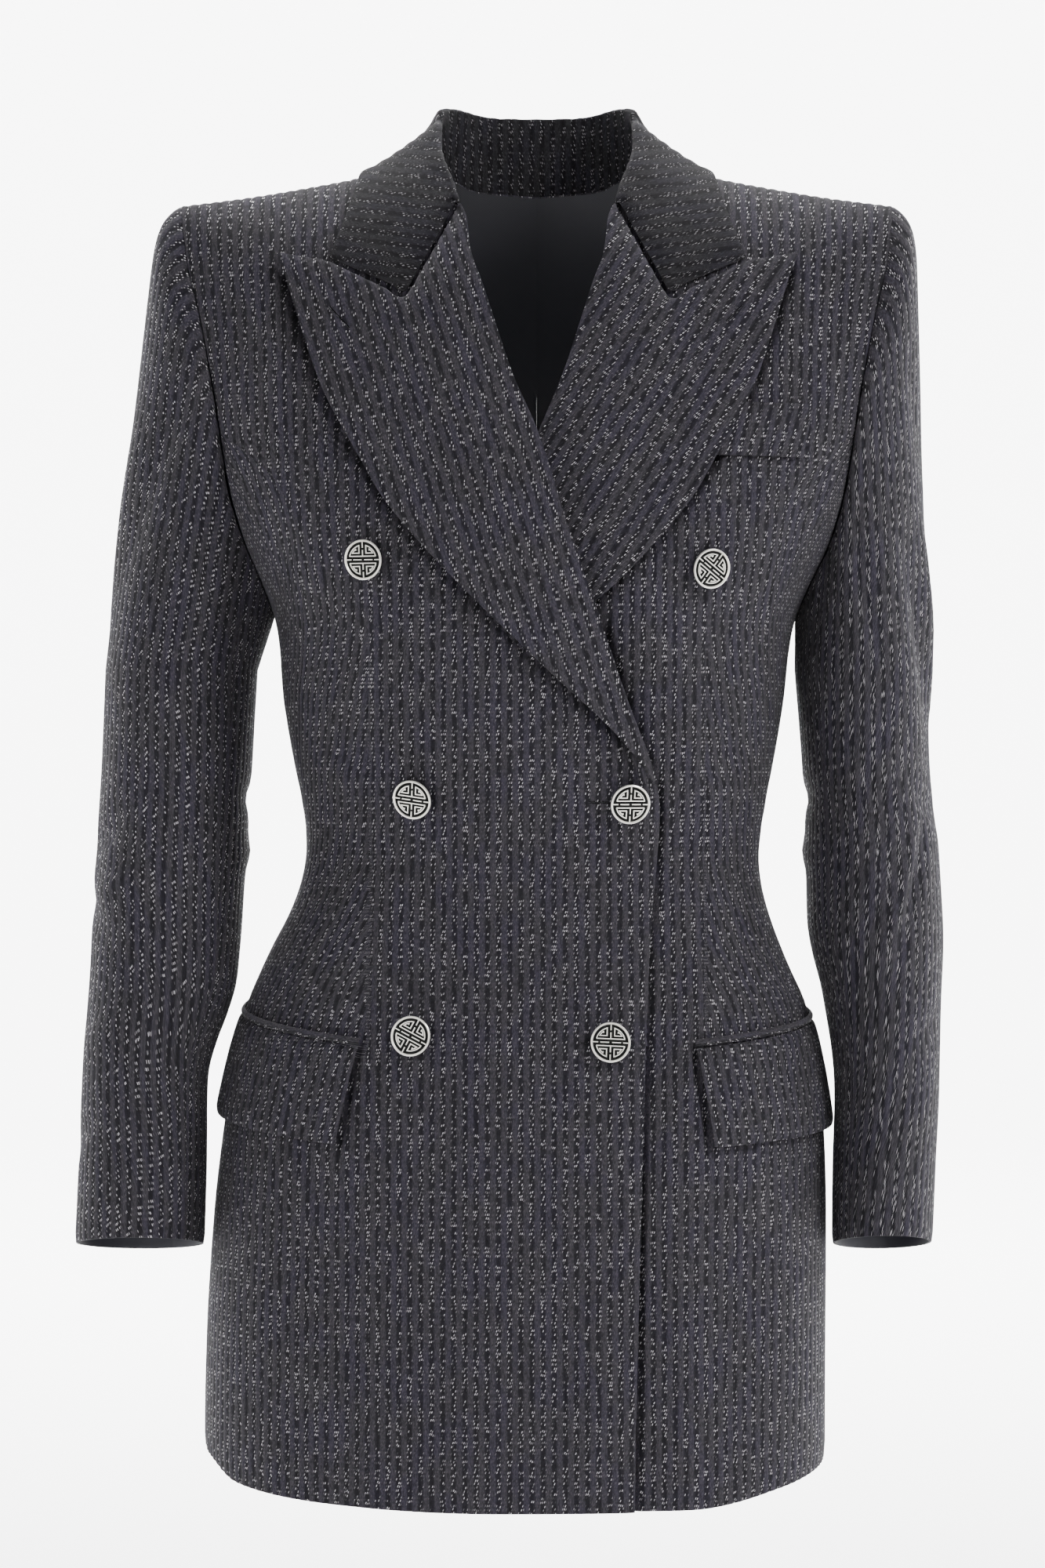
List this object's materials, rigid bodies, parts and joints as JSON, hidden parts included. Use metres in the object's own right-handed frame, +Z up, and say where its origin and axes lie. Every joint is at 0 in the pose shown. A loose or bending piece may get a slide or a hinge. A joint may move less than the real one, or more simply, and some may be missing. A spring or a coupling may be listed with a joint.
{
  "type": "blazer",
  "caption": "Fitted double-breasted blazer with peak lapels, square shoulders and flap pockets, hollow as worn, open at neck, hem and cuffs.",
  "frame": {"origin": "midway between the two points where the shoulder seams meet the neck, level with them", "axes": "+Z up along the wearer, -Y out of the front, +X towards the wearer's left"},
  "size_m": [0.5066, 0.262, 0.812],
  "materials": {
    "ribbed_cloth": "ribbed woollen cloth with fine metallic thread",
    "antique_silver": "cast metal with dark recesses"
  },
  "bodies": {
    "root": {"front_right": "ribbed_cloth", "side_right": "ribbed_cloth", "back_right": "ribbed_cloth", "lapel_right": "ribbed_cloth", "sleeve_top_right": "ribbed_cloth", "sleeve_under_right": "ribbed_cloth", "jet_right": "ribbed_cloth", "flap_right": "ribbed_cloth", "front_left": "ribbed_cloth", "side_left": "ribbed_cloth", "back_left": "ribbed_cloth", "lapel_left": "ribbed_cloth", "sleeve_top_left": "ribbed_cloth", "sleeve_under_left": "ribbed_cloth", "jet_left": "ribbed_cloth", "flap_left": "ribbed_cloth", "collar": "ribbed_cloth", "breast_welt": "ribbed_cloth", "button_top_right": "antique_silver", "button_top_left": "antique_silver", "button_mid_right": "antique_silver", "button_mid_left": "antique_silver", "button_low_right": "antique_silver", "button_low_left": "antique_silver"}
  },
  "joints": []
}
